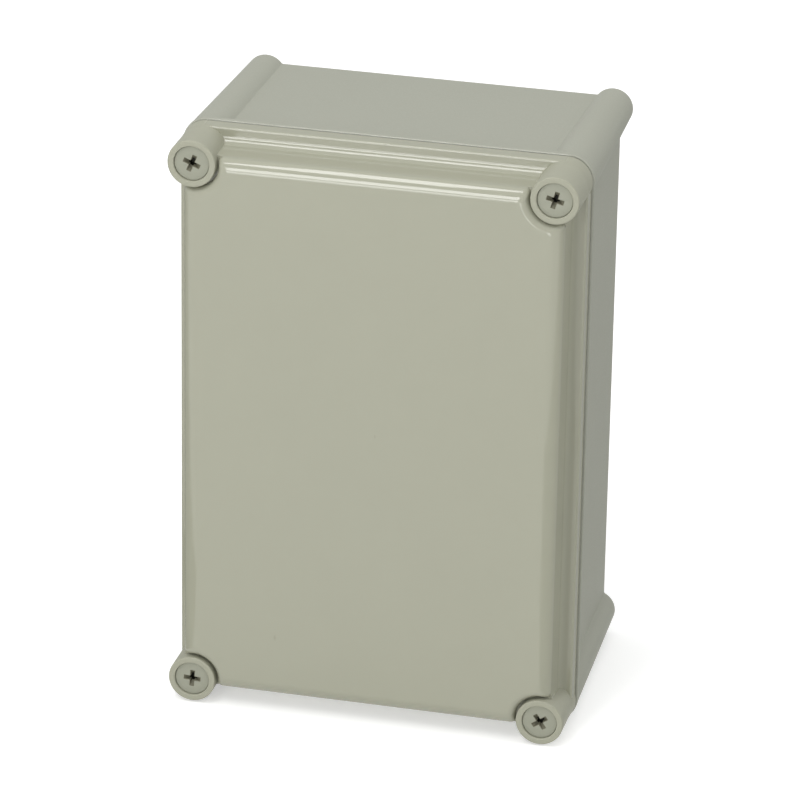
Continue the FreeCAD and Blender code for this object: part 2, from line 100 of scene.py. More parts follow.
# Base, and the draft that the cover's inside shares
WALL_DRAFT, BASE_WALL, BASE_CORNER = 1.5, 3.0, 13.2
LIP_THICKNESS, LIP_FRONT_EDGE, LIP_BACK_EDGE = 3.0, 0.7, 0.6
LIP_ROOT, ROOT_STEP = 2.0, 1.54  # taper behind the lip, and its step out of the wall
COLUMN_RADIUS, COLUMN_CREASE, BACK_EDGE = 11.9, 1.2, 1.2
BACK_BORDER, FIELD_DEPTH, FIELD_CORNER, FIELD_BEND = 9.0, 1.0, 16.4, 0.6
BORE_RADIUS, BORE_CLEARANCE = 4.8, 2.0
PASSAGE_RADIUS, FIXING_SEAT, FIXING_HOLE = 4.5, 5.0, 2.75
BOSS_X, BOSS_Z, BOSS_HEIGHT, BOSS_HOLE_DEPTH = 65.0, 100.0, 8.0, 7.0
BOSS_FOOT, BOSS_RADIUS, BOSS_HOLE = 4.21, 4.0, 1.75

# Screws
SCREWS = {  # corner, and degrees that the cross recess has turned
    "top_left": ((-1, 1), -22.0),
    "top_right": ((1, 1), -15.0),
    "bottom_left": ((-1, -1), -4.0),
    "bottom_right": ((1, -1), 34.0),
}
HEAD_RADIUS, HEAD_EDGE, NECK_RADIUS = 8.1, 0.35, 3.9
THREAD_HEIGHT, THREAD_SWING, THREAD_FADE = 0.85, 0.85, 1.5  # the swing past a half flattens crest and root
TIP_RADIUS, TIP_TAPER = 3.75, 0.5
CROSS_ARM, CROSS_HALF, CROSS_EDGE, CROSS_CORNER = 3.85, 0.9, 0.25, 0.3
CROSS_INSIDE = [(2.4, 1.8, 0.8), (4.6, 1.5, 0.7)]  # depth, arm and half width further in

# How finely curves are divided
ARC_POINTS, BEND_POINTS, CROSS_POINTS = 41, 9, 5
CROWN_POINTS, ROLL_POINTS, FOOT_POINTS, RIM_POINTS, TOWER_POINTS = 16, 11, 13, 9, 7
SCREW_COLUMNS, BORE_COLUMNS, THREAD_ROWS = 64, 48, 15
QUARTER_TURN, FINE_QUARTER_TURN = (np.linspace(0, np.pi / 2, count) for count in (6, 8))
LAND, HOLD = 0.3, 0.12  # strips beside a fold that keep the flat face next to it flat
LONG_STEP = 8 * HOLD  # a profile's step past this length is held at both ends
SAME_POINT = 1e-6  # points of a ring that are closer than this are one
MERGE_DISTANCE, SHARP_FOLD = 0.002 * MM, math.radians(30)

# Finish, with each finish numbered by its place in its moulding's list of materials
POLISHED_PANEL, MATT_TOWER = 0, 1
SATIN_WALL, POLISHED_LIP = 0, 1
# The recess's arm and pit finishes are painted shade: darker colours stand in for the shade deep in the
# driver recess
MATT_HEAD, PAINTED_SHADE_ARM, PAINTED_SHADE_PIT = 0, 1, 2
PLASTIC_IOR = 1.5
DRIFT_MM, DRIFT_SHARE = 45.0, 0.015  # slow change in a moulding's colour
POLISH_SHARE = 0.15  # how far roughness varies with the mould's texture
SCUFFS = [(-42.9, 38.7, 1.3), (3.3, 145.7, 0.8)]  # x, z and reach of faint marks on the panel
SCUFF_COLOUR, SCUFF_STRENGTH = "#20201C", 0.12
SCUFF_STRETCH = (1.4, 1.0, 0.6)  # scales distance along x, y and z, so a scuff is upright

# Studio, in metres and degrees
BOX_MIDDLE = Vector((0.0, 0.0, MID_Z * MM))
COVER_MIDDLE = Vector((0.0, FRONT_Y * MM, MID_Z * MM))
TOP_EDGE = Vector((0.0, FRONT_Y * MM, HEIGHT * MM))
FLOOR_REACH = 12.0
STRIPS = {  # height and spread as seen from the top edge, and share of the strength
    "strip_high": (57.0, 22.0, 1.0),
    "strip_middle": (15.0, 17.0, 1.0),
    "strip_low": (-3.5, 10.0, 0.75),
}
STRIP_DISTANCE, STRIP_WIDTH, STRIP_SIDE = 1.5, 0.36, -0.22
GLINT_HEIGHT, GLINT_SPREAD = -16.0, 12.0
GLINT_DISTANCE, GLINT_WIDTH, GLINT_SIDE = 0.5, 0.09, 0.11
OVERHEAD_PLACE, OVERHEAD_SIZE = (0.0, -0.1, 1.8), 1.2
RIGHT_PLACE, RIGHT_SIZE = (1.6, 0.0, 0.7), 1.0
CARDS = {  # opposite corners
    "right_card": ((0.1, -0.4, 0.003), (1.6, 2.4, 0.003)),
    "left_card": ((-1.5, -0.2, 0.003), (-0.12, 1.5, 0.003)),
    "back_card": ((-4.0, 1.6, 0.2), (4.0, 1.6, 3.5)),
}


def slope(degrees):
    """Sideways run of a drafted face for each unit of depth."""
    return math.tan(math.radians(degrees))


def swept(centre, start, sweep, radius, count):
    """Arcs, one for each row: a centre plus a radius times the cosine and sine of an angle that
    runs evenly from start through sweep."""
    centre, start = np.asarray(centre, float), np.asarray(start, float)
    sweep, radius = np.asarray(sweep, float), np.asarray(radius, float)
    angle = start[:, None] + sweep[:, None] * np.linspace(0, 1, count)
    return centre[:, None, :] + radius[:, None, None] * np.stack([np.cos(angle), np.sin(angle)], -1)


def inner_corner(out_x, out_z, hollow, bend):
    """Rows of an outline that passes inside a screw, measured from its axis: a bend off the side
    wall, the circle of radius hollow, and a bend on to the end wall. A bend's centre lies at
    hollow + bend from the axis and at bend inside its wall."""
    reach = hollow + bend
    side = np.stack([out_x - bend, -np.sqrt(reach ** 2 - (out_x - bend) ** 2)], -1)
    end = np.stack([-np.sqrt(reach ** 2 - (out_z - bend) ** 2), out_z - bend], -1)
    first = np.arctan2(side[:, 1], side[:, 0])
    last = np.arctan2(end[:, 1], end[:, 0])
    last = np.where(last > 0, last - 2 * np.pi, last)
    return np.concatenate([
        swept(side, first * 0, first + np.pi, bend, BEND_POINTS),
        swept(side * 0, first, last - first, hollow, ARC_POINTS)[:, 1:-1],
        swept(end, last + np.pi, -np.pi / 2 - last, bend, BEND_POINTS)], axis=1)


def crease_angles(out_x, out_z, radius, crease):
    """Where the two creases between a tower and its walls have their centres: at radius + crease
    from the axis and at crease outside the wall."""
    reach = radius + crease
    side = np.stack([out_x + crease, -np.sqrt(np.maximum(reach ** 2 - (out_x + crease) ** 2, 0))], -1)
    end = np.stack([-np.sqrt(np.maximum(reach ** 2 - (out_z + crease) ** 2, 0)), out_z + crease], -1)
    return side, end, np.arctan2(side[:, 1], side[:, 0]), np.arctan2(end[:, 1], end[:, 0])


def outer_corner(out_x, out_z, radius, crease, inwards=False):
    """Rows of an outline that passes a screw on its outer side: a crease from the side wall on to
    the circle of the tower, that circle, and a crease on to the end wall. Inwards, it takes the
    rest of the circle and so passes the screw on its inner side."""
    side, end, first, last = crease_angles(out_x, out_z, radius, crease)
    sweep = last - first - (2 * np.pi if inwards else 0)
    return np.concatenate([
        swept(side, first * 0 + np.pi, first, crease, BEND_POINTS),
        swept(side * 0, first, sweep, radius, ARC_POINTS)[:, 1:-1],
        swept(end, last - np.pi, np.pi / 2 - last, crease, BEND_POINTS)], axis=1)


def at_corner(local, corner):
    """Points measured from a screw's axis, mirrored to one corner, as x and z in the frame."""
    side_x, side_z = corner
    return np.stack([side_x * (SCREW_X + local[..., 0]), MID_Z + side_z * (SCREW_Z + local[..., 1])], -1)


def all_corners(local):
    """One corner's rows carried round all four corners as closed outlines. A corner that is
    mirrored once is run backwards."""
    runs = [at_corner(local if x == z else local[:, ::-1], (x, z)) for x, z in CORNERS]
    return np.concatenate(runs, axis=1)


def at_depth(flat, depth):
    """Rows of x and z set at a depth for each row."""
    depth = np.broadcast_to(np.asarray(depth, float)[:, None], flat.shape[:2])
    return np.stack([flat[..., 0], depth, flat[..., 1]], -1)


def circles(radius, angles):
    """Points about an axis, in rows: each radius times the cosine and sine of each angle."""
    return radius[..., None] * np.stack([np.cos(angles), np.sin(angles)], -1)


def turned(flat, angle):
    """Flat points turned about an axis by an angle, as a product with its cosine and sine."""
    cos, sin = math.cos(angle), math.sin(angle)
    return flat @ np.array([[cos, sin], [-sin, cos]])


def held(rows):
    """Rows of profile values, with a further row close to both ends of each long step, so that
    flat faces stay flat in their shading."""
    kept = [rows[0]]
    for before, after in zip(rows[:-1], rows[1:]):
        length = np.abs(after - before).max()
        if length > LONG_STEP:
            share = HOLD / length
            kept += [before + (after - before) * share, after - (after - before) * share]
        kept.append(after)
    return np.array(kept)


class Moulding:
    """One moulding's points and faces, gathered block by block. Each block's faces keep the
    number of their finish."""

    def __init__(self):
        self.points = []
        self.faces = []
        self.finishes = []
        self.count = 0

    def add(self, points, faces, finish=0):
        """Take in points and the faces between them, numbered from the block's own first point."""
        faces = [tuple(int(i) + self.count for i in face) for face in faces]
        self.points.append(points.reshape(-1, 3))
        self.faces += faces
        self.finishes += list(np.broadcast_to(finish, len(faces)))
        self.count += len(self.points[-1])

    def grid(self, points, closed=True, finish=0):
        """A surface on a grid of rows and columns: each face joins two rows and two columns, and
        the last column meets the first one where the rows are closed."""
        rows, columns = points.shape[:2]
        number = np.arange(rows * columns).reshape(rows, columns)
        following = np.roll(number, -1, axis=1)
        quads = np.stack([number[:-1], following[:-1], following[1:], number[1:]], -1)
        if not closed:
            quads = quads[:, :-1]
        if np.ndim(finish):
            finish = np.broadcast_to(finish, quads.shape[:2]).ravel()
        self.add(points, quads.reshape(-1, 4), finish)

    def lid(self, ring, finish=0):
        """One flat face over a closed ring."""
        self.add(ring, [range(len(ring))], finish)

    def plate(self, rings, finish=0):
        """A flat face between an outer ring and the rings of its holes, filled with triangles."""
        rings = [ring[np.linalg.norm(ring - np.roll(ring, 1, axis=0), axis=1) > SAME_POINT]
                 for ring in rings]
        triangles = tessellate_polygon([[Vector(point) for point in ring] for ring in rings])
        self.add(np.concatenate(rings), triangles, finish)

    def piece(self, name, materials):
        """Put the blocks into one mesh with merged seams, faces outwards and smooth shading up to
        a fold of thirty degrees."""
        mesh = bpy.data.meshes.new(name)
        mesh.from_pydata((np.concatenate(self.points) * MM).tolist(), [], self.faces)
        mesh.polygons.foreach_set("material_index", np.array(self.finishes, dtype=np.int32))
        work = bmesh.new()
        work.from_mesh(mesh)
        bmesh.ops.remove_doubles(work, verts=work.verts, dist=MERGE_DISTANCE)
        bmesh.ops.dissolve_degenerate(work, edges=work.edges, dist=MERGE_DISTANCE / 2)
        bmesh.ops.recalc_face_normals(work, faces=work.faces)
        open_edges = sum(not edge.is_manifold for edge in work.edges)
        if open_edges:
            raise RuntimeError(f"{name}: {open_edges} open edges")
        work.to_mesh(mesh)
        work.free()
        mesh.shade_smooth()
        mesh.set_sharp_from_angle(angle=SHARP_FOLD)
        for material in materials:
            mesh.materials.append(material)
        piece = bpy.data.objects.new(name, mesh)
        bpy.context.scene.collection.objects.link(piece)
        return piece


def rounded(centre, radius, depth, first, last, count):
    """A rounded edge as rows of place and depth: place is the centre plus radius times the cosine
    of an angle, and depth is less by radius times its sine."""
    angle = np.radians(np.linspace(first, last, count))
    return np.stack([centre + radius * np.cos(angle), depth - radius * np.sin(angle)], -1)


def edge_rows(place, across, depth, down):
    """A rounded edge as rows of place and depth, through a right angle: place is its last one plus
    across times one less the sine, and depth is its first one plus down times one less the cosine."""
    return np.stack([place + across * (1 - np.sin(QUARTER_TURN)),
                     depth + down * (1 - np.cos(QUARTER_TURN))], -1)


def rim_at(depth, place):
    """A drafted wall or corner of the rim that lies at a place at the rim's back."""
    return place - (RIM_BACK_Y - depth) * slope(RIM_DRAFT)


def tower_at(depth):
    """A tower's radius: straight, then flared along one arc to the shoulder, then the rim's own
    round corner. The arc rises by growth over the flare's length, so its radius is the sum of
    their squares over twice the growth."""
    growth = rim_at(SHOULDER_Y, CORNER_RIM) - TOWER_RADIUS
    bow = (growth ** 2 + TOWER_FLARE ** 2) / (2 * growth)
    run = np.clip(depth - SHOULDER_Y + TOWER_FLARE, 0, TOWER_FLARE)
    flared = TOWER_RADIUS + bow - np.sqrt(bow ** 2 - run ** 2)
    return np.where(depth < SHOULDER_Y, flared, rim_at(depth, CORNER_RIM))


def panel_side(depth, wall):
    """The raised panel's side at each depth under its face: a gentle arc, a tight arc tangent to
    it, then the drafted flank."""
    start = wall - CROWN * math.sin(CROWN_ANGLE) - EDGE * (math.cos(FLANK_DRAFT) - math.sin(CROWN_ANGLE))
    middle = start + (CROWN - EDGE) * math.sin(CROWN_ANGLE)
    gentle = start + np.sqrt(np.maximum(CROWN ** 2 - (CROWN - depth) ** 2, 0))
    tight = middle + np.sqrt(np.maximum(EDGE ** 2 - (EDGE_DROP - depth) ** 2, 0))
    flank = wall + (depth - ROLL_DEPTH) * math.tan(FLANK_DRAFT)
    below_crown = depth > CROWN * (1 - math.cos(CROWN_ANGLE))
    return np.where(depth > ROLL_DEPTH, flank, np.where(below_crown, tight, gentle))


def cover_outer_rows():
    """The cover's outside from the rim's back edge to the moat's floor, as rows of depth, side
    wall, end wall and tower radius, each from the screw's axis."""
    back, edge = [RIM_BACK_Y - RIM_BACK_EDGE * (1 - np.cos(QUARTER_TURN))], []
    for place in (SIDE_RIM, END_RIM, CORNER_RIM):
        start = place - RIM_BACK_EDGE
        back.append(start + (rim_at(RIM_BACK_Y - RIM_BACK_EDGE, place) - start) * np.sin(QUARTER_TURN))
    edge_start = SHOULDER_Y + RIM_EDGE
    for place in (SIDE_RIM, END_RIM):
        centre = rim_at(edge_start, place) - RIM_EDGE / math.cos(math.radians(RIM_DRAFT))
        edge.append(rounded(centre, RIM_EDGE, edge_start, RIM_DRAFT, 90, RIM_POINTS))
    edge_depth = edge[0][:, 1]
    edge = np.stack([edge_depth, edge[0][:, 0], edge[1][:, 0], tower_at(edge_depth)], -1)
    back = np.stack(back, -1)
    swing = np.linspace(np.pi / 2, FLANK_DRAFT, FOOT_POINTS)
    foot_depth = SHOULDER_Y - FOOT + FOOT * np.sin(swing)
    foot = [foot_depth]
    for wall in (SIDE_FLANK, END_FLANK):
        top = panel_side(foot_depth[-1] - FRONT_Y, wall)
        foot.append(top + FOOT * (math.cos(FLANK_DRAFT) - np.cos(swing)))
    foot = np.stack(foot + [tower_at(foot_depth)], -1)
    moat = [MOAT_Y] + [panel_side(MOAT_Y - FRONT_Y, wall) for wall in (SIDE_FLANK, END_FLANK)]
    moat = np.array([moat + [tower_at(MOAT_Y)]])
    return held(np.concatenate([back, edge, foot, moat]))


def panel_rows(scallop_edge, horn):
    """The raised panel from the moat's floor to its face, as rows of depth, side wall, end wall,
    hollow round the tower and bend at the horn."""
    fall = np.concatenate([
        CROWN * (1 - np.cos(np.linspace(0, CROWN_ANGLE, CROWN_POINTS))),
        EDGE_DROP - EDGE * np.cos(np.linspace(CROWN_ANGLE, np.pi / 2 - FLANK_DRAFT, ROLL_POINTS)[1:]),
        [scallop_edge, MOAT_Y - FRONT_Y]])
    fall = np.sort(fall)[::-1]
    rounding = np.sqrt(np.maximum(scallop_edge ** 2 - np.maximum(scallop_edge - fall, 0) ** 2, 0))
    hollow = MOAT_WALL + scallop_edge - rounding
    rows = [FRONT_Y + fall, panel_side(fall, SIDE_FLANK), panel_side(fall, END_FLANK), hollow]
    return np.stack(rows + [np.full_like(fall, horn)], -1)


def inner_rows(rows):
    """Closed outlines from rows of depth, side wall, end wall, hollow and bend."""
    rows = np.array(rows, float)
    return at_depth(all_corners(inner_corner(*rows[:, 1:].T)), rows[:, 0])


def seal_rows(face, end, half):
    """The groove or tongue along the seal line: its two sides lie half its width outside and
    inside that line, and run from a face to the groove's floor or the tongue's top."""
    path = [(face, half), (end, half), (end, -half), (face, -half)]
    return [[depth, SEAL_OFFSET + shift, SEAL_OFFSET + shift, SEAL_CORNER - shift, SEAL_BEND + shift]
            for depth, shift in path]


def shrunk(row, inset, depth=0.0):
    """A row whose outline lies an inset further in and whose depth is moved."""
    return np.array(row) + [depth, -inset, -inset, inset, -inset]


def cavity_rows(mouth, end):
    """A shell's inside from its mouth to its closed end, with a rounded edge before the end."""
    mouth, end = np.array(mouth, float), np.array(end, float)
    way = np.sign(end[0] - mouth[0])
    start = end + (mouth - end) * INSIDE_EDGE / abs(end[0] - mouth[0])
    edge = [shrunk(start, INSIDE_EDGE * (1 - math.cos(angle)), way * INSIDE_EDGE * math.sin(angle))
            for angle in FINE_QUARTER_TURN]
    return held(np.array([mouth] + edge + [shrunk(edge[-1], LAND)]))


def make_cover(horn, crease, scallop_edge, materials):
    """The cover as one moulding: rim, raised panel, moats and towers, groove and inside. Each is a
    profile of depths and distances carried round the corners' outlines or a tower's circle, and
    flat faces fill what lies between."""
    cover = Moulding()
    panel = panel_rows(scallop_edge, horn)
    corner = inner_corner(*panel[:, 1:].T)
    horn_side, horn_end = corner[0, 0, 1], corner[0, -1, 0]
    rows = cover_outer_rows()
    crease_size = np.full(len(rows), crease)
    body = outer_corner(rows[:, 1], rows[:, 2], rows[:, 3], crease_size)
    # The straight walls get a point abreast of each horn, where the moat ends
    first = np.stack([rows[:, 1], np.full(len(rows), horn_side)], -1)[:, None]
    last = np.stack([np.full(len(rows), horn_end), rows[:, 2]], -1)[:, None]
    outside = at_depth(all_corners(np.concatenate([first, body, last], axis=1)), rows[:, 0])
    points = outside.shape[1] // len(CORNERS)
    on_tower = (np.arange(points) >= BEND_POINTS) & (np.arange(points) < points - BEND_POINTS - 1)
    cover.grid(outside, finish=np.where(np.tile(on_tower, len(CORNERS)), MATT_TOWER, POLISHED_PANEL))

    face = at_depth(all_corners(corner), panel[:, 0])
    flat = inner_rows([shrunk(panel[-1], LAND)])
    cover.grid(np.concatenate([face, flat]))
    cover.lid(flat[0])

    # Each moat's floor runs from the inner side of its tower to the hollow in the panel
    moat = (*rows[-1:, 1:].T, crease_size[-1:])
    strip = np.concatenate([outer_corner(*moat, inwards=True), corner[:1]])
    start, stop = (angle[0] for angle in crease_angles(*moat)[2:])
    angles = np.concatenate([
        np.linspace(start, stop, ARC_POINTS),
        np.linspace(stop, start + 2 * np.pi, ARC_POINTS)[1:-1]])
    edge_start = FRONT_Y + TOWER_EDGE
    tower = held(np.concatenate([
        [[tower_at(MOAT_Y), MOAT_Y]],
        rounded(tower_at(edge_start) - TOWER_EDGE, TOWER_EDGE, edge_start, 0, 90, TOWER_POINTS),
        edge_rows(WELL_RADIUS, WELL_EDGE, FRONT_Y, WELL_EDGE_DROP),
        [[WELL_RADIUS, SEAT_Y], [WEB_HOLE, SEAT_Y], [WEB_HOLE, WEB_BACK_Y], [TOWER_HOLLOW, WEB_BACK_Y],
         [TOWER_HOLLOW, PARTING_Y], [TOWER_FOOT, PARTING_Y], [TOWER_FOOT, RIM_BACK_Y]]]))
    feet = []
    for place in CORNERS:
        cover.grid(at_depth(at_corner(strip, place), [MOAT_Y, MOAT_Y]), closed=False)
        rings = at_depth(at_corner(circles(tower[:, :1], angles), place), tower[:, 1])
        cover.grid(rings, finish=MATT_TOWER)
        feet.append(rings[-1])

    side, end, ceiling_y = SIDE_FLANK - COVER_WALL, END_FLANK - COVER_WALL, FRONT_Y + COVER_WALL
    lean = (RIM_BACK_Y - ceiling_y) * slope(WALL_DRAFT)
    mouth = [RIM_BACK_Y, side + lean, end + lean, COVER_CORNER, INSIDE_BEND]
    ceiling = [ceiling_y, side, end, COVER_CORNER + lean * CORNER_LEAN, INSIDE_BEND]
    inside = inner_rows(np.concatenate([
        seal_rows(RIM_BACK_Y, GROOVE_Y, GROOVE_HALF), cavity_rows(mouth, ceiling)]))
    cover.grid(inside)
    cover.lid(inside[-1])
    cover.plate([outside[0], inside[0]] + feet)
    return cover.piece("cover_moulding", materials)


def base_outer_rows():
    """The base's outside from the lip's front edge to the back, as rows of depth, side wall, end
    wall, column radius and crease."""
    def fall(depth):
        """How far a drafted wall has come in at a depth."""
        return (depth - PARTING_Y) * slope(WALL_DRAFT)

    lip_back = PARTING_Y + LIP_THICKNESS
    root_back = lip_back + LIP_ROOT
    edge_start = BACK_Y - BACK_EDGE
    rows = []
    for place, depth in edge_rows(LIP, -LIP_FRONT_EDGE, PARTING_Y, LIP_FRONT_EDGE):
        rows.append([depth, place, place, place, COLUMN_CREASE])
    for place, depth in edge_rows(LIP, -LIP_BACK_EDGE, lip_back, -LIP_BACK_EDGE)[::-1]:
        rows.append([depth, place, place, max(place, COLUMN_RADIUS - fall(depth)), COLUMN_CREASE])
    rows.append([lip_back, SIDE_WALL + ROOT_STEP, END_WALL + ROOT_STEP,
                 COLUMN_RADIUS - fall(lip_back), COLUMN_CREASE])
    drop = fall(root_back)
    rows.append([root_back, SIDE_WALL - drop, END_WALL - drop, COLUMN_RADIUS - drop, COLUMN_CREASE])
    for angle in FINE_QUARTER_TURN:
        cut = BACK_EDGE * (1 - math.cos(angle))
        drop = fall(edge_start) + cut
        rows.append([edge_start + BACK_EDGE * math.sin(angle), SIDE_WALL - drop, END_WALL - drop,
                     COLUMN_RADIUS - drop, COLUMN_CREASE + cut])
    return held(np.array(rows))


def make_base(materials):
    """The base as one moulding: lip, walls, columns with their bores, tongue, inside and bosses,
    made of carried profiles and flat faces as the cover is."""
    base = Moulding()
    rows = base_outer_rows()
    outside = at_depth(all_corners(outer_corner(*rows[:, 1:].T)), rows[:, 0])
    on_edge = rows[:-1, 0] < PARTING_Y + LIP_FRONT_EDGE
    base.grid(outside, finish=np.where(on_edge, POLISHED_LIP, SATIN_WALL)[:, None])

    angles = np.linspace(0, 2 * np.pi, BORE_COLUMNS, endpoint=False)
    bore_end, seat = TIP_Y + BORE_CLEARANCE, BACK_Y - FIXING_SEAT
    bore = held(np.array([
        [BORE_RADIUS, PARTING_Y], [BORE_RADIUS, bore_end], [PASSAGE_RADIUS, bore_end],
        [PASSAGE_RADIUS, seat], [FIXING_HOLE, seat], [FIXING_HOLE, BACK_Y]]))
    mouths, fixings = [], []
    for place in CORNERS:
        rings = at_depth(at_corner(circles(bore[:, :1], angles), place), bore[:, 1])
        base.grid(rings)
        mouths.append(rings[0])
        fixings.append(rings[-1])

    side, end = SIDE_WALL - BASE_WALL, END_WALL - BASE_WALL
    lean = (FLOOR_Y - PARTING_Y) * slope(WALL_DRAFT)
    mouth = [PARTING_Y, side, end, BASE_CORNER, INSIDE_BEND]
    floor = [FLOOR_Y, side - lean, end - lean, BASE_CORNER + lean * CORNER_LEAN, INSIDE_BEND]
    inside = inner_rows(np.concatenate([
        seal_rows(PARTING_Y, TONGUE_Y, TONGUE_HALF), cavity_rows(mouth, floor)]))
    base.grid(inside)
    base.plate([outside[0], inside[0]] + mouths)

    boss_top = FLOOR_Y - BOSS_HEIGHT
    boss = held(np.array([[BOSS_FOOT, FLOOR_Y], [BOSS_RADIUS, boss_top], [BOSS_HOLE, boss_top],
                          [BOSS_HOLE, boss_top + BOSS_HOLE_DEPTH]]))
    feet = []
    for side_x, side_z in CORNERS:
        axis = [side_x * BOSS_X, MID_Z + side_z * BOSS_Z]
        rings = at_depth(circles(boss[:, :1], angles) + axis, boss[:, 1])
        base.grid(rings)
        base.lid(rings[-1])
        feet.append(rings[0])
    base.plate([inside[-1]] + feet)

    border = (BACK_Y - PARTING_Y) * slope(WALL_DRAFT) + BACK_BORDER
    field = [SIDE_WALL - border, END_WALL - border, FIELD_CORNER, FIELD_BEND]
    sunk = [BACK_Y - FIELD_DEPTH] + field
    recess = inner_rows([[BACK_Y] + field, sunk, shrunk(sunk, LAND)])
    base.grid(recess)
    base.lid(recess[-1])
    base.plate([outside[-1], recess[0]] + fixings)
    return base.piece("base_moulding", materials)


def cross_outline(arm, half_width, soft):
    """A driver recess seen from the front: four arms with softened corners. In each quarter an
    arc of radius soft turns out of one arm, one turns in between the arms, and one turns out
    again, and the quarter is then turned by a right angle."""
    inner, still, right_angle = half_width + soft, arm * 0, arm * 0 + np.pi / 2
    quarter = np.concatenate([
        swept(np.stack([arm - soft, half_width - soft], -1), still, right_angle, soft, CROSS_POINTS),
        swept(np.stack([inner, inner], -1), -right_angle, -right_angle, soft, CROSS_POINTS),
        swept(np.stack([half_width - soft, arm - soft], -1), still, right_angle, soft, CROSS_POINTS),
    ], axis=1)
    return np.concatenate([turned(quarter, number * np.pi / 2) for number in range(4)], axis=1)


def make_screw(name, corner, turn, pitch, materials):
    """A captive screw. Its radius is the neck's, plus the thread's height times a flattened wave
    that moves by one pitch in a full turn, faded in at the neck and cut back by the tip's cone."""
    screw = Moulding()
    angles = np.linspace(0, 2 * np.pi, SCREW_COLUMNS, endpoint=False)
    head = held(np.concatenate([
        edge_rows(HEAD_RADIUS, -HEAD_EDGE, HEAD_Y, HEAD_EDGE),
        [[HEAD_RADIUS, SEAT_Y], [NECK_RADIUS, SEAT_Y], [NECK_RADIUS, THREAD_Y]]]))
    depth = np.linspace(THREAD_Y, TIP_Y, THREAD_ROWS * int((TIP_Y - THREAD_Y) / pitch))[1:]
    phase = depth[:, None] / pitch + angles / (2 * np.pi)
    wave = np.clip(0.5 + THREAD_SWING * np.cos(2 * np.pi * phase), 0, 1)
    fade = np.clip((depth - THREAD_Y) / THREAD_FADE, 0, 1)[:, None]
    cone = TIP_RADIUS + TIP_TAPER * (TIP_Y - depth)[:, None]
    radius = np.minimum(NECK_RADIUS + THREAD_HEIGHT * wave * fade, cone)
    radius = np.concatenate([np.repeat(head[:, :1], len(angles), axis=1), radius])
    depth = np.concatenate([head[:, 1], depth])
    place = np.array([corner[0] * SCREW_X, MID_Z + corner[1] * SCREW_Z])
    shank = at_depth(circles(radius, angles) + place, depth)
    screw.grid(shank, finish=MATT_HEAD)
    screw.lid(shank[-1])

    soften = np.linspace(np.pi / 2, 0, CROSS_POINTS)
    spread = CROSS_EDGE * (1 - np.cos(soften))
    mouth = np.stack([CROSS_EDGE * (1 - np.sin(soften)), CROSS_ARM + spread, CROSS_HALF + spread], -1)
    rows = np.concatenate([mouth, CROSS_INSIDE])
    cross = cross_outline(rows[:, 1], rows[:, 2], np.full(len(rows), CROSS_CORNER))
    cross = at_depth(turned(cross, turn) + place, HEAD_Y + rows[:, 0])
    last_step = np.arange(len(rows) - 1) == len(rows) - 2
    # Painted shade: the recess's walls take a darker colour, and its last step and floor a nearly black one,
    # for the shade deep in the pit
    screw.grid(cross, finish=np.where(last_step, PAINTED_SHADE_PIT, PAINTED_SHADE_ARM)[:, None])
    screw.lid(cross[-1], finish=PAINTED_SHADE_PIT)
    screw.plate([shank[0], cross[0]])
    return screw.piece(name, materials)


def linear(hex_colour):
    """An sRGB hex colour as linear red, green, blue and alpha."""
    values = [int(hex_colour[i:i + 2], 16) / 255 for i in (1, 3, 5)]
    return [value / 12.92 if value <= 0.04045 else ((value + 0.055) / 1.055) ** 2.4
            for value in values] + [1.0]


def add(tree, kind, settings=None, links=None):
    """Add one shader node, with its settings by name and its inputs by name or number: an input
    is linked where the value is another node's output, and set where it is anything else."""
    node = tree.nodes.new(kind)
    for name, value in (settings or {}).items():
        setattr(node, name, value)
    for name, value in (links or {}).items():
        if isinstance(value, bpy.types.NodeSocket):
            tree.links.new(value, node.inputs[name])
        else:
            node.inputs[name].default_value = value
    return node


def new_material(name):
    """An empty material and its tree."""
    material = bpy.data.materials.new(name)
    material.use_nodes = True
    material.node_tree.nodes.clear()
    return material, material.node_tree


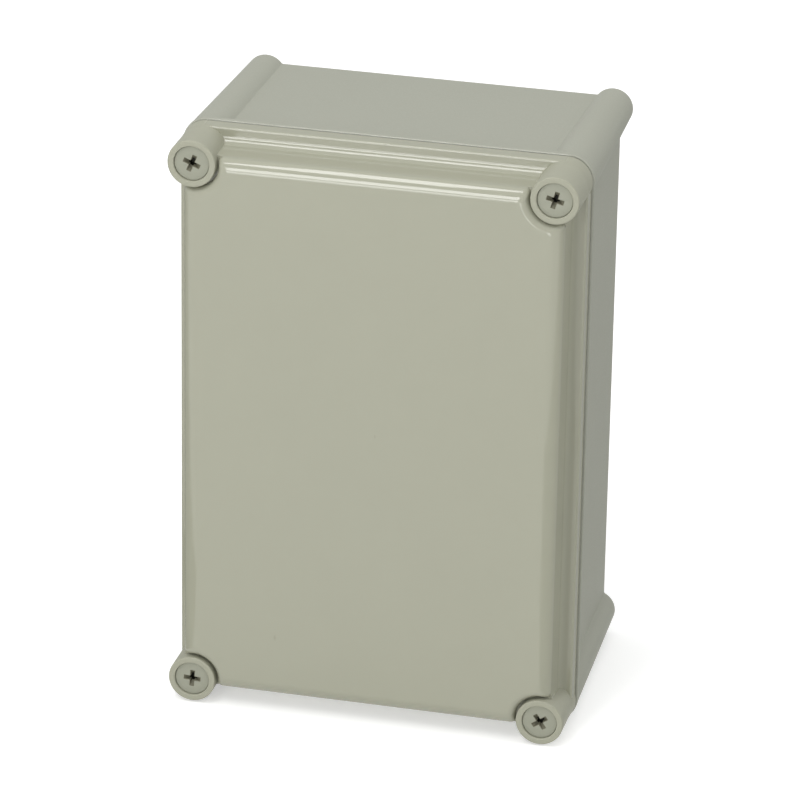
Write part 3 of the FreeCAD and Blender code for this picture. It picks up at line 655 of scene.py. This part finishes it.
def moulded_plastic(name, colour, roughness, specular, texture_mm, texture_height_mm, warp_height_mm,
                    scuffs=()):
    """Moulded plastic. Its colour drifts by a percent or two over centimetres, its skin repeats
    the fine texture or polish of the mould, which sets how sharply it mirrors, and its broad faces
    sink a little where the plastic shrank. The real texture is a tenth of a millimetre or two and
    too fine to show, so it is drawn several times coarser. Scuffs are faint dark smudges on the
    panel's face."""
    material, tree = new_material(name)
    place = add(tree, "ShaderNodeTexCoord").outputs["Object"]
    broad = add(tree, "ShaderNodeTexNoise", None,
                {"Vector": place, "Scale": 1 / (DRIFT_MM * MM), "Detail": 3.0, "Roughness": 0.55})
    fine = add(tree, "ShaderNodeTexNoise", None,
               {"Vector": place, "Scale": 1 / (texture_mm * MM), "Detail": 2.0, "Roughness": 0.6})
    plain = linear(colour)[:3]
    tint = add(tree, "ShaderNodeMix", {"data_type": "RGBA"},
               {0: broad.outputs["Fac"], 6: [part * (1 - DRIFT_SHARE) for part in plain] + [1.0],
                7: [part * (1 + DRIFT_SHARE) for part in plain] + [1.0]})
    for x, z, reach in scuffs:
        middle = (x * MM, FRONT_Y * MM, z * MM)
        away = add(tree, "ShaderNodeVectorMath", {"operation": "SUBTRACT"}, {0: place, 1: middle})
        away = add(tree, "ShaderNodeVectorMath", {"operation": "MULTIPLY"},
                   {0: away.outputs[0], 1: SCUFF_STRETCH})
        away = add(tree, "ShaderNodeVectorMath", {"operation": "LENGTH"}, {0: away.outputs[0]})
        scuff = add(tree, "ShaderNodeMapRange", {"interpolation_type": "SMOOTHSTEP"},
                    {"Value": away.outputs["Value"], "From Min": 0.0, "From Max": reach * MM,
                     "To Min": SCUFF_STRENGTH, "To Max": 0.0})
        tint = add(tree, "ShaderNodeMix", {"data_type": "RGBA"},
                   {0: scuff.outputs["Result"], 6: tint.outputs[2], 7: linear(SCUFF_COLOUR)})
    polish = add(tree, "ShaderNodeMapRange", None,
                 {"Value": fine.outputs["Fac"], "From Min": 0.3, "From Max": 0.7,
                  "To Min": roughness * (1 - POLISH_SHARE), "To Max": roughness * (1 + POLISH_SHARE)})
    skin = add(tree, "ShaderNodeBump", None,
               {"Distance": texture_height_mm * MM, "Height": fine.outputs["Fac"]})
    sink = add(tree, "ShaderNodeBump", None,
               {"Distance": warp_height_mm * MM, "Height": broad.outputs["Fac"],
                "Normal": skin.outputs["Normal"]})
    shader = add(tree, "ShaderNodeBsdfPrincipled", None,
                 {"Base Color": tint.outputs[2], "Roughness": polish.outputs["Result"], "IOR": PLASTIC_IOR,
                  "Specular IOR Level": specular, "Normal": sink.outputs["Normal"]})
    add(tree, "ShaderNodeOutputMaterial", None, {"Surface": shader.outputs["BSDF"]})
    return material


class BoxFinish(bpy.types.PropertyGroup):
    """The colours and polish of the mouldings."""
    base_colour: bpy.props.StringProperty(
        name="Base colour", description="sRGB hex colour of the base", default="#A1A294")
    cover_colour: bpy.props.StringProperty(
        name="Cover colour", description="sRGB hex colour of the cover", default="#A1A18F")
    screw_colour: bpy.props.StringProperty(
        name="Screw colour", description="sRGB hex colour of the cover screws", default="#989989")
    # The recess and pit colours are painted shade, darker than the screw for the shade deep in its driver
    # recess
    recess_colour: bpy.props.StringProperty(
        name="Recess colour", description="sRGB hex colour of the driver recesses' arms", default="#716F5E")
    pit_colour: bpy.props.StringProperty(
        name="Pit colour", description="sRGB hex colour at the foot of a driver recess", default="#23221A")
    gasket_colour: bpy.props.StringProperty(
        name="Gasket colour", description="sRGB hex colour of the sealing cord", default="#2B2C2C")
    cover_roughness: bpy.props.FloatProperty(
        name="Cover roughness", description="Roughness of the polished cover",
        default=0.06, min=0.0, max=1.0, subtype="FACTOR")
    base_roughness: bpy.props.FloatProperty(
        name="Base roughness", description="Roughness of the satin base",
        default=0.5, min=0.0, max=1.0, subtype="FACTOR")


class BoxShape(bpy.types.PropertyGroup):
    """The sizes of the mouldings that give the box its look."""
    horn_radius: bpy.props.FloatProperty(
        name="Horn radius", description="Rounding where the panel's side meets the moat",
        default=2.2 * MM, min=0.2 * MM, max=4 * MM, subtype="DISTANCE", unit="LENGTH")
    crease_radius: bpy.props.FloatProperty(
        name="Crease radius", description="Hollow between a tower and the cover's sides",
        default=1.0 * MM, min=0.2 * MM, max=2 * MM, subtype="DISTANCE", unit="LENGTH")
    scallop_edge: bpy.props.FloatProperty(
        name="Scallop edge", description="Rounded edge of the panel along the moat",
        default=3.9 * MM, min=1 * MM, max=5 * MM, subtype="DISTANCE", unit="LENGTH")
    thread_pitch: bpy.props.FloatProperty(
        name="Thread pitch", description="Distance from one turn of the screw thread to the next",
        default=2.4 * MM, min=1 * MM, max=5 * MM, subtype="DISTANCE", unit="LENGTH")


class BoxStudio(bpy.types.PropertyGroup):
    """The camera and the lamps."""
    camera_turn: bpy.props.FloatProperty(
        name="Camera turn", description="How far the camera stands to the right of straight ahead",
        default=math.radians(13.5886), subtype="ANGLE")
    camera_rise: bpy.props.FloatProperty(
        name="Camera rise", description="How far the camera looks down",
        default=math.radians(23.1409), subtype="ANGLE")
    camera_roll: bpy.props.FloatProperty(
        name="Camera roll", description="How far the camera is turned about its own axis",
        default=math.radians(0.9790), subtype="ANGLE")
    camera_distance: bpy.props.FloatProperty(
        name="Camera distance", description="From the camera to the middle of the cover",
        default=2.23482, subtype="DISTANCE", unit="LENGTH")
    camera_right: bpy.props.FloatProperty(
        name="Camera right", description="How far its line passes to the right of the cover's middle",
        default=0.0147, subtype="DISTANCE", unit="LENGTH")
    camera_up: bpy.props.FloatProperty(
        name="Camera up", description="How far its line passes above the cover's middle",
        default=0.0215, subtype="DISTANCE", unit="LENGTH")
    camera_lens: bpy.props.FloatProperty(
        name="Camera lens", description="Focal length", default=222.205, subtype="DISTANCE_CAMERA")
    floor_colour: bpy.props.StringProperty(
        name="Floor colour", description="sRGB hex colour of the paper floor", default="#E6E6E4")
    floor_glow: bpy.props.FloatProperty(
        name="Floor glow", description="How far the floor is lifted to white where it is seen",
        default=0.45, min=0.0)
    sky_colour: bpy.props.StringProperty(
        name="Sky colour", description="sRGB hex colour of the light from all round", default="#FBFCFF")
    sky_strength: bpy.props.FloatProperty(
        name="Sky strength", description="Even light from all round", default=0.68, min=0.0)
    overhead_strength: bpy.props.FloatProperty(
        name="Overhead strength", description="Radiance of the lamp above", default=1.5, min=0.0)
    right_strength: bpy.props.FloatProperty(
        name="Right strength", description="Radiance of the soft lamp on the right", default=0.8, min=0.0)
    strip_strength: bpy.props.FloatProperty(
        name="Strip strength", description="Radiance of the strip lamps", default=8.0, min=0.0)
    glint_strength: bpy.props.FloatProperty(
        name="Glint strength", description="Radiance of the small strip that lights the moat's edge",
        default=4.0, min=0.0)
    right_card_colour: bpy.props.StringProperty(
        name="Right card colour", description="sRGB hex colour of the card on the right", default="#A8AAAA")
    left_card_colour: bpy.props.StringProperty(
        name="Left card colour", description="sRGB hex colour of the card on the left", default="#6E7070")
    back_card_colour: bpy.props.StringProperty(
        name="Back card colour", description="sRGB hex colour of the card behind the box", default="#C2C4C4")


class OBJECT_OT_box_cover(bpy.types.Operator):
    """Mould the cover, with a polished panel and matt towers"""
    bl_idname = "project_box.cover"
    bl_label = "Mould Cover"

    def execute(self, context):
        finish, shape = context.scene.box_finish, context.scene.box_shape
        # A polished mould: the panel mirrors the lamps in clear lines, a little wavy where it sank
        polished = moulded_plastic(
            "polished_abs_cover", finish.cover_colour, roughness=finish.cover_roughness, specular=0.5,
            texture_mm=0.9, texture_height_mm=0.0006, warp_height_mm=0.02, scuffs=SCUFFS)
        # A finely blasted mould: the towers look dry and soft
        matt = moulded_plastic(
            "matt_abs_towers", finish.cover_colour, roughness=0.5, specular=0.35,
            texture_mm=0.6, texture_height_mm=0.004, warp_height_mm=0.0)
        cover = make_cover(shape.horn_radius / MM, shape.crease_radius / MM, shape.scallop_edge / MM,
                           [polished, matt])
        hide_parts("enclosure_cover")
        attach(cover, "cover")
        return {"FINISHED"}


class OBJECT_OT_box_base(bpy.types.Operator):
    """Mould the base in satin plastic"""
    bl_idname = "project_box.base"
    bl_label = "Mould Base"

    def execute(self, context):
        finish = context.scene.box_finish
        # A fine satin mould: the walls spread the light evenly and hide their draft
        satin = moulded_plastic(
            "satin_abs_base", finish.base_colour, roughness=finish.base_roughness, specular=0.35,
            texture_mm=0.7, texture_height_mm=0.004, warp_height_mm=0.02)
        # The lip's front edge is polished with the parting, and draws a bright line along it
        polished = moulded_plastic(
            "polished_abs_lip", finish.base_colour, roughness=0.15, specular=0.5,
            texture_mm=0.9, texture_height_mm=0.0006, warp_height_mm=0.0)
        base = make_base([satin, polished])
        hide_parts("enclosure_base")
        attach(base, "base")
        return {"FINISHED"}


class OBJECT_OT_box_screws(bpy.types.Operator):
    """Mould the four cover screws"""
    bl_idname = "project_box.screws"
    bl_label = "Mould Screws"

    def execute(self, context):
        finish, shape = context.scene.box_finish, context.scene.box_shape
        grain = {"texture_mm": 0.6, "texture_height_mm": 0.004, "warp_height_mm": 0.0}
        # Moulded nylon: as dry as the towers and a little darker
        matt = moulded_plastic("moulded_nylon_screw", finish.screw_colour, 0.5, 0.35, **grain)
        # Painted shade: the recess's arms are painted brown and its foot nearly black, for the shade deep in
        # the narrow recess
        recess_shade = moulded_plastic("nylon_recess_painted_shade", finish.recess_colour, 0.6, 0.3, **grain)
        dark = moulded_plastic("nylon_pit_painted_shade", finish.pit_colour, 0.7, 0.3, **grain)
        for place, (corner, degrees) in SCREWS.items():
            screw = make_screw("screw_" + place, corner, math.radians(degrees), shape.thread_pitch / MM,
                               [matt, recess_shade, dark])
            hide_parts("cover_screw_" + place)
            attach(screw, "screw_" + place)
        return {"FINISHED"}


class OBJECT_OT_box_gasket(bpy.types.Operator):
    """Finish the sealing cord in the cover's groove"""
    bl_idname = "project_box.gasket"
    bl_label = "Finish Gasket"

    def execute(self, context):
        colour = context.scene.box_finish.gasket_colour
        # Foamed rubber, nearly black and without shine, with open pores
        foam = moulded_plastic("foam_rubber_gasket", colour, roughness=0.8, specular=0.3,
                               texture_mm=0.4, texture_height_mm=0.02, warp_height_mm=0.0)
        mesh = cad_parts["cover_gasket"].data
        mesh.materials.clear()
        mesh.materials.append(foam)
        return {"FINISHED"}


def area_lamp(name, place, target, width, depth, radiance):
    """A flat lamp at a place, turned to a target and not seen itself. A flat lamp of power P and
    area A has a radiance of P / (pi A)."""
    lamp = bpy.data.lights.new(name, "AREA")
    lamp.shape = "RECTANGLE"
    lamp.size = width
    lamp.size_y = depth
    lamp.energy = radiance * math.pi * width * depth
    holder = bpy.data.objects.new(name, lamp)
    holder.location = place
    holder.rotation_euler = (Vector(place) - Vector(target)).to_track_quat("Z", "Y").to_euler()
    holder.visible_camera = False
    bpy.context.scene.collection.objects.link(holder)
    return holder


def strip_lamp(name, height, spread, distance, width, side, radiance):
    """A long soft strip in front of the cover's top edge. It is seen in the rolled edges as a
    line, at the height that its angle above the horizon gives, and as thick as its spread, both
    in degrees. Side is how far it stands off the middle, as a share of its distance."""
    height, spread = math.radians(height), math.radians(spread)
    level = math.sqrt(1 - side ** 2)
    way = Vector((side, -level * math.cos(height), level * math.sin(height)))
    depth = 2 * distance * math.tan(spread / 2)
    return area_lamp(name, TOP_EDGE + way * distance, TOP_EDGE, width, depth, radiance)


def mirrored_card(name, low, high, colour):
    """A card between two opposite corners, which only the box's reflections see: it sets what the
    faces that are seen at a low angle mirror in place of the pale floor and sky."""
    mesh = bpy.data.meshes.new(name)
    mesh.from_pydata([low, (high[0], *low[1:]), high, (low[0], *high[1:])], [], [(0, 1, 2, 3)])
    material, tree = new_material(name + "_paper")
    paper = add(tree, "ShaderNodeEmission", None, {"Color": linear(colour), "Strength": 1.0})
    add(tree, "ShaderNodeOutputMaterial", None, {"Surface": paper.outputs[0]})
    mesh.materials.append(material)
    card = bpy.data.objects.new(name, mesh)
    card.visible_camera = card.visible_diffuse = card.visible_shadow = card.visible_transmission = False
    bpy.context.scene.collection.objects.link(card)


def in_sight(tree):
    """One for rays of the camera, of a reflection or through something clear, and nothing for the
    rays that only light the box."""
    path = add(tree, "ShaderNodeLightPath")
    seen = path.outputs["Is Camera Ray"]
    for ray in ("Is Glossy Ray", "Is Transmission Ray"):
        either = add(tree, "ShaderNodeMath", {"operation": "MAXIMUM"}, {0: seen, 1: path.outputs[ray]})
        seen = either.outputs[0]
    return seen


def lay_floor(studio):
    """White paper, lifted to white where it is seen, with the box's shadow left on it."""
    low, high = -FLOOR_REACH, FLOOR_REACH
    mesh = bpy.data.meshes.new("floor")
    mesh.from_pydata([(low, low, 0), (high, low, 0), (high, high, 0), (low, high, 0)], [], [(0, 1, 2, 3)])
    floor = bpy.data.objects.new("floor", mesh)
    bpy.context.scene.collection.objects.link(floor)
    material, tree = new_material("white_paper_floor")
    paper = add(tree, "ShaderNodeBsdfDiffuse", None, {"Color": linear(studio.floor_colour)})
    glow = add(tree, "ShaderNodeMath", {"operation": "MULTIPLY"},
               {0: in_sight(tree), 1: studio.floor_glow})
    lift = add(tree, "ShaderNodeEmission", None, {"Color": (1, 1, 1, 1), "Strength": glow.outputs[0]})
    both = add(tree, "ShaderNodeAddShader", None, {0: paper.outputs[0], 1: lift.outputs[0]})
    add(tree, "ShaderNodeOutputMaterial", None, {"Surface": both.outputs[0]})
    mesh.materials.append(material)


def light_sky(studio):
    """Even light from all round, and plain white where the sky is seen."""
    world = bpy.data.worlds.new("studio")
    bpy.context.scene.world = world
    world.use_nodes = True
    sky = world.node_tree
    sky.nodes.clear()
    around = add(sky, "ShaderNodeBackground", None,
                 {"Color": linear(studio.sky_colour), "Strength": studio.sky_strength})
    white = add(sky, "ShaderNodeBackground", None, {"Color": (1, 1, 1, 1), "Strength": 1.0})
    mix = add(sky, "ShaderNodeMixShader", None,
              {0: in_sight(sky), 1: around.outputs[0], 2: white.outputs[0]})
    add(sky, "ShaderNodeOutputWorld", None, {"Surface": mix.outputs[0]})


def hang_lamps(studio):
    """Three strips in front, a small one that is only mirrored, two soft lamps that only light,
    and three cards."""
    for name, (height, spread, share) in STRIPS.items():
        strip_lamp(name, height, spread, STRIP_DISTANCE, STRIP_WIDTH, STRIP_SIDE,
                   studio.strip_strength * share)
    glint = strip_lamp("strip_glint", GLINT_HEIGHT, GLINT_SPREAD, GLINT_DISTANCE, GLINT_WIDTH, GLINT_SIDE,
                       studio.glint_strength)
    glint.visible_diffuse = False
    overhead = area_lamp("overhead", OVERHEAD_PLACE, BOX_MIDDLE, OVERHEAD_SIZE, OVERHEAD_SIZE,
                         studio.overhead_strength)
    right = area_lamp("right_fill", RIGHT_PLACE, BOX_MIDDLE, RIGHT_SIZE, RIGHT_SIZE, studio.right_strength)
    overhead.visible_glossy = right.visible_glossy = False
    for name, (low, high) in CARDS.items():
        mirrored_card(name, low, high, getattr(studio, name + "_colour"))


def place_camera(studio):
    """The camera stands back along a line that is turned to the right and up, is rolled about it,
    and is moved sideways and up across it."""
    turn, rise, roll = studio.camera_turn, studio.camera_rise, studio.camera_roll
    back = Vector((math.sin(turn) * math.cos(rise), -math.cos(turn) * math.cos(rise), math.sin(rise)))
    right = Vector((math.cos(turn), math.sin(turn), 0))
    up = back.cross(right)
    rolled_right = math.cos(roll) * right + math.sin(roll) * up
    rolled_up = -math.sin(roll) * right + math.cos(roll) * up
    aside = studio.camera_right * rolled_right + studio.camera_up * rolled_up
    camera = bpy.data.cameras.new("camera")
    camera.lens = studio.camera_lens
    holder = bpy.data.objects.new("camera", camera)
    axes = Matrix((rolled_right, rolled_up, back)).transposed().to_4x4()
    holder.matrix_world = Matrix.Translation(COVER_MIDDLE + aside + studio.camera_distance * back) @ axes
    bpy.context.scene.collection.objects.link(holder)
    bpy.context.scene.camera = holder


class OBJECT_OT_box_stage(bpy.types.Operator):
    """Lay the floor, hang the lamps, and place the camera"""
    bl_idname = "project_box.stage"
    bl_label = "Set Stage"

    def execute(self, context):
        studio = context.scene.box_studio
        lay_floor(studio)
        light_sky(studio)
        hang_lamps(studio)
        place_camera(studio)
        context.scene.view_settings.view_transform = "Standard"
        return {"FINISHED"}


class VIEW3D_PT_project_box(bpy.types.Panel):
    """The settings, and the steps in order"""
    bl_label = "Project Box"
    bl_space_type = "VIEW_3D"
    bl_region_type = "UI"
    bl_category = "Project Box"

    def draw(self, context):
        for name, kind in SETTINGS.items():
            group = getattr(context.scene, name)
            box = self.layout.box()
            for setting in kind.__annotations__:
                box.prop(group, setting)
        for step in STEPS:
            self.layout.operator(step.bl_idname)


SETTINGS = {"box_finish": BoxFinish, "box_shape": BoxShape, "box_studio": BoxStudio}
STEPS = [OBJECT_OT_box_base, OBJECT_OT_box_cover, OBJECT_OT_box_gasket, OBJECT_OT_box_screws,
         OBJECT_OT_box_stage]
CLASSES = [*SETTINGS.values(), VIEW3D_PT_project_box, *STEPS]


def register():
    for kind in CLASSES:
        bpy.utils.register_class(kind)
    for name, kind in SETTINGS.items():
        setattr(bpy.types.Scene, name, bpy.props.PointerProperty(type=kind))


def unregister():
    for name in SETTINGS:
        delattr(bpy.types.Scene, name)
    for kind in reversed(CLASSES):
        bpy.utils.unregister_class(kind)


def main():
    """Register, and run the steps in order."""
    register()
    bpy.ops.project_box.base()
    bpy.ops.project_box.cover()
    bpy.ops.project_box.gasket()
    bpy.ops.project_box.screws()
    bpy.ops.project_box.stage()


if __name__ == "__main__":
    main()
